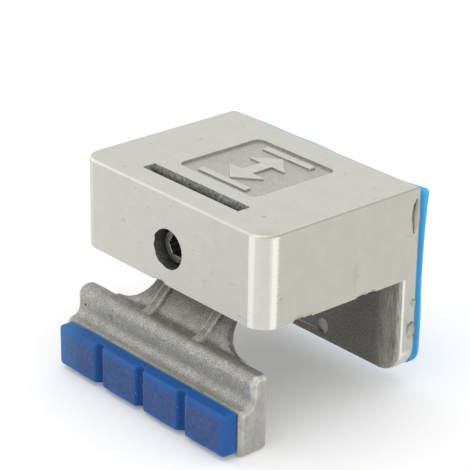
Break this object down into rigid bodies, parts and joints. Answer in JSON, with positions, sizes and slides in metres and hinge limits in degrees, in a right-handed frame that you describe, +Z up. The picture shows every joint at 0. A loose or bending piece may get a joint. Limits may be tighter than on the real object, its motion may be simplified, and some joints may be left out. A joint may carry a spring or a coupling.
{
  "type": "sliding window lock",
  "caption": "Expanding lock for a sliding window's track: a cast block with a rear flange, and a T-shaped jaw on a hex-socket screw that pushes its rubber pad outwards.",
  "frame": {"origin": "on the outer face of the rear pad, in the middle of the width, level with the underside of the block", "axes": "+X along the window's track, +Y out of the rear pad, +Z up"},
  "size_m": [0.0546, 0.051, 0.0439],
  "materials": {
    "body_steel": "ground and brushed along its length, as cast in the slot, the hole and under the block",
    "jaw_steel": "as cast and shot-blasted, worn bright on its edges",
    "screw_steel": "dark, oiled",
    "jaw_rubber": "matt blue, dusty",
    "rear_rubber": "satin azure blue"
  },
  "bodies": {
    "body": {"lock_body": "body_steel", "rear_pad": "rear_rubber"},
    "screw": {"jack_screw": "screw_steel"},
    "jaw": {"clamp_jaw": "jaw_steel", "jaw_pad": "jaw_rubber"}
  },
  "joints": [
    {"name": "jaw_slide", "type": "slide", "parent": "body", "child": "jaw", "axis": [0, -1, 0], "range_m": [-0.008, 0.003]},
    {"name": "screw_turn", "type": "hinge", "parent": "body", "child": "screw", "pos_m": [0, -0.0408, 0.00775], "axis": [0, 1, 0], "range_deg": [-2304, 864]}
  ],
  "couplings": [
    {"joint": "screw_turn", "follows": "jaw_slide", "rad_per_m": 5026.5}
  ]
}
